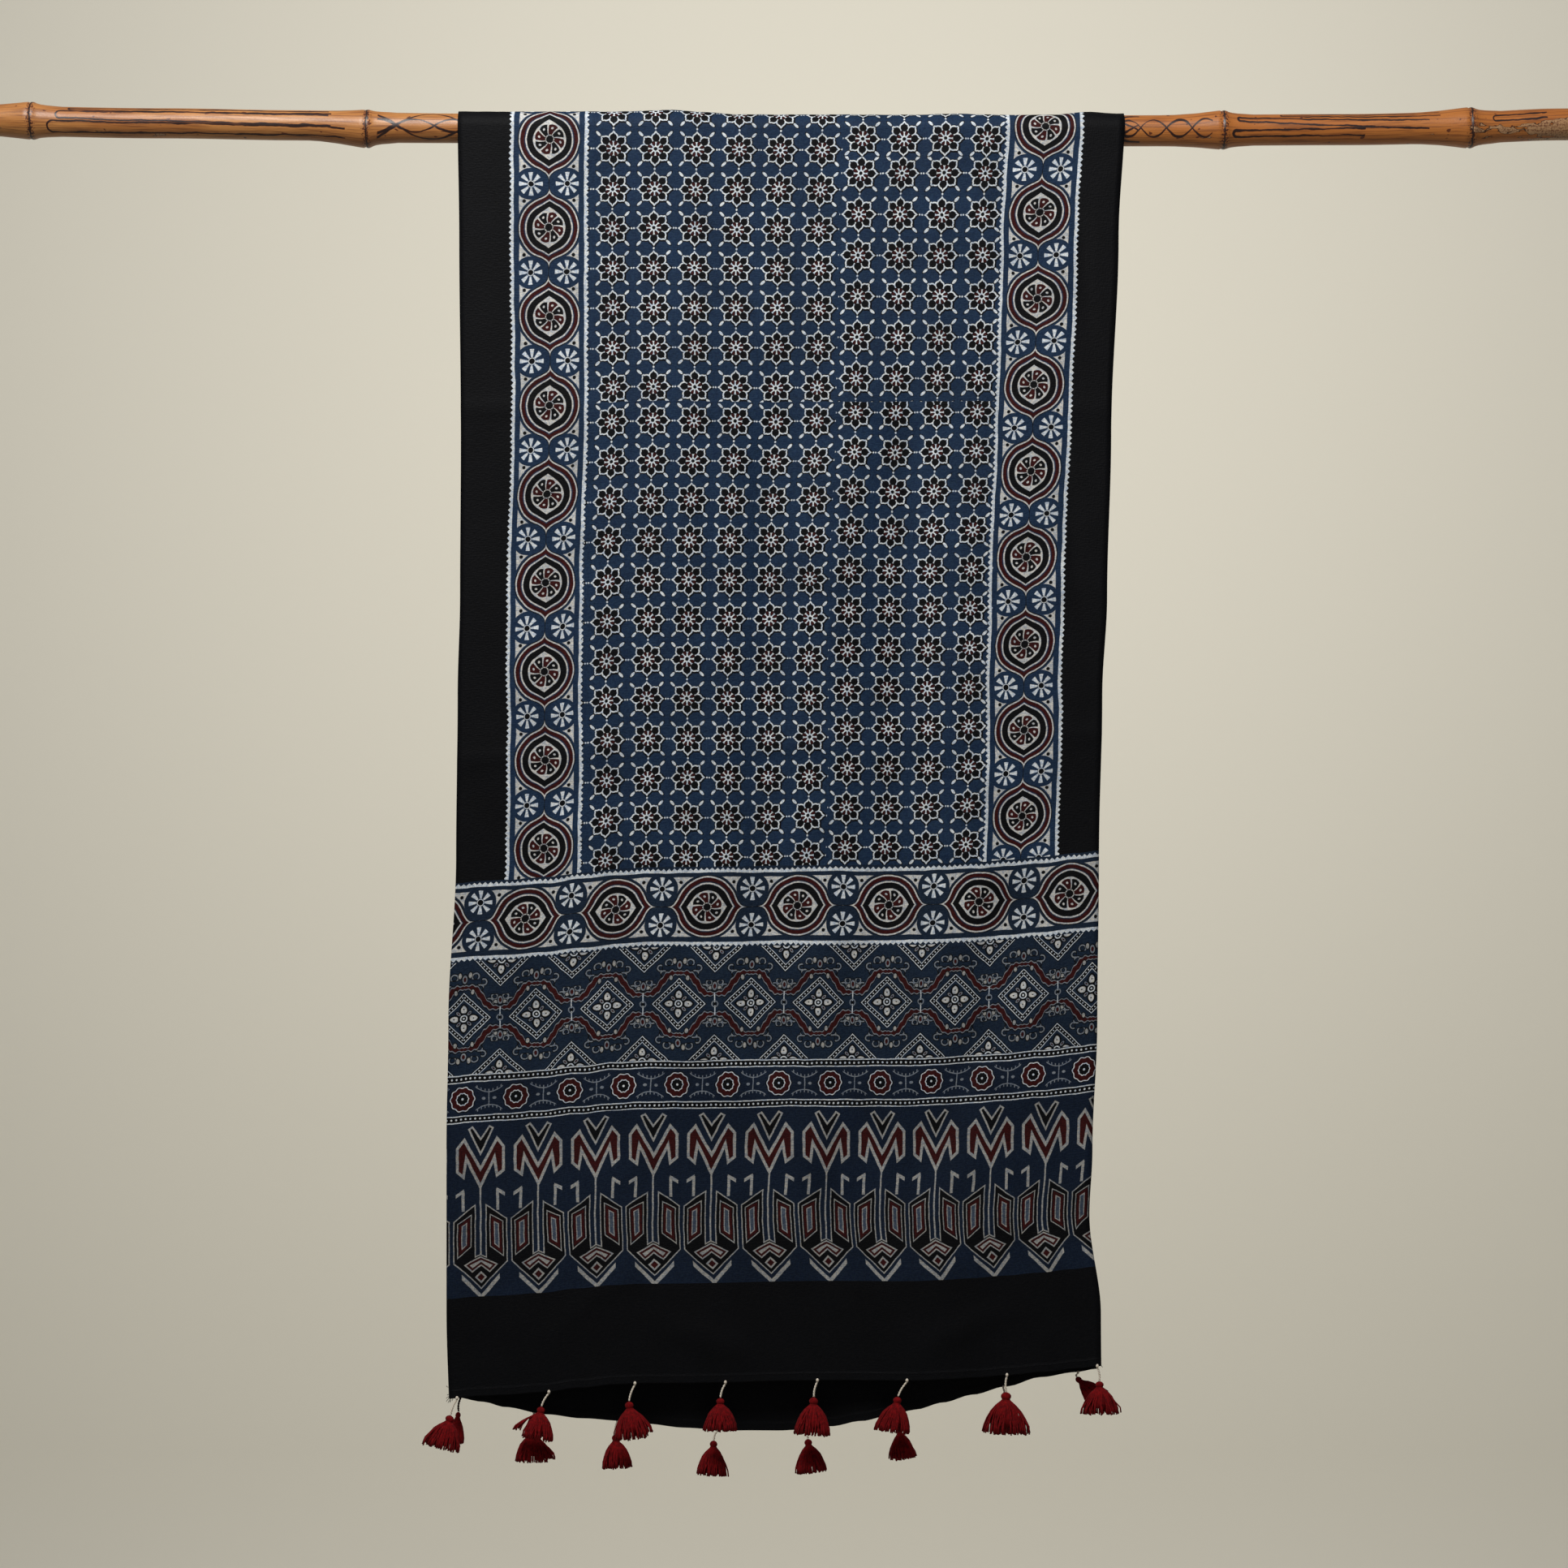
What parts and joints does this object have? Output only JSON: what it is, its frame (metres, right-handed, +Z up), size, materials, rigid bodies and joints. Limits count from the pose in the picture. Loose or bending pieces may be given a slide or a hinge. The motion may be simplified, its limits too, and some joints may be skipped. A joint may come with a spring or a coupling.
{
  "type": "ajrakh stole over a bamboo pole",
  "caption": "Long block-printed cotton stole hung doubled over a plain bamboo pole, with small yarn tassels tied along both hems.",
  "frame": {"origin": "on the pole's axis line at the middle of its length, where whatever is out of view holds the pole", "axes": "+X along the pole, towards the right as seen from the front; +Y from the stole's front layer to its back layer; +Z up"},
  "size_m": [1.4, 0.0436, 1.1372],
  "materials": {
    "printed_cotton": "fine twill-faced cotton with a soft satin sheen, resist and indigo block print",
    "red_yarn": "soft twisted cotton yarn, matt",
    "cream_thread": "undyed twisted cotton thread",
    "bamboo": "varnished bamboo with burnt rings and drawn burn lines"
  },
  "bodies": {
    "root": {"stole": "printed_cotton", "bamboo_pole": "bamboo", "front_thread_1": "cream_thread", "front_tassel_1": "red_yarn", "front_thread_2": "cream_thread", "front_tassel_2": "red_yarn", "front_thread_3": "cream_thread", "front_tassel_3": "red_yarn", "front_thread_4": "cream_thread", "front_tassel_4": "red_yarn", "front_thread_5": "cream_thread", "front_tassel_5": "red_yarn", "front_thread_6": "cream_thread", "front_tassel_6": "red_yarn", "front_thread_7": "cream_thread", "front_tassel_7": "red_yarn", "front_thread_8": "cream_thread", "front_tassel_8": "red_yarn", "back_thread_1": "cream_thread", "back_tassel_1": "red_yarn", "back_thread_2": "cream_thread", "back_tassel_2": "red_yarn", "back_thread_3": "cream_thread", "back_tassel_3": "red_yarn", "back_thread_4": "cream_thread", "back_tassel_4": "red_yarn", "back_thread_5": "cream_thread", "back_tassel_5": "red_yarn", "back_thread_6": "cream_thread", "back_tassel_6": "red_yarn", "back_thread_7": "cream_thread", "back_tassel_7": "red_yarn", "back_thread_8": "cream_thread", "back_tassel_8": "red_yarn"}
  },
  "joints": []
}
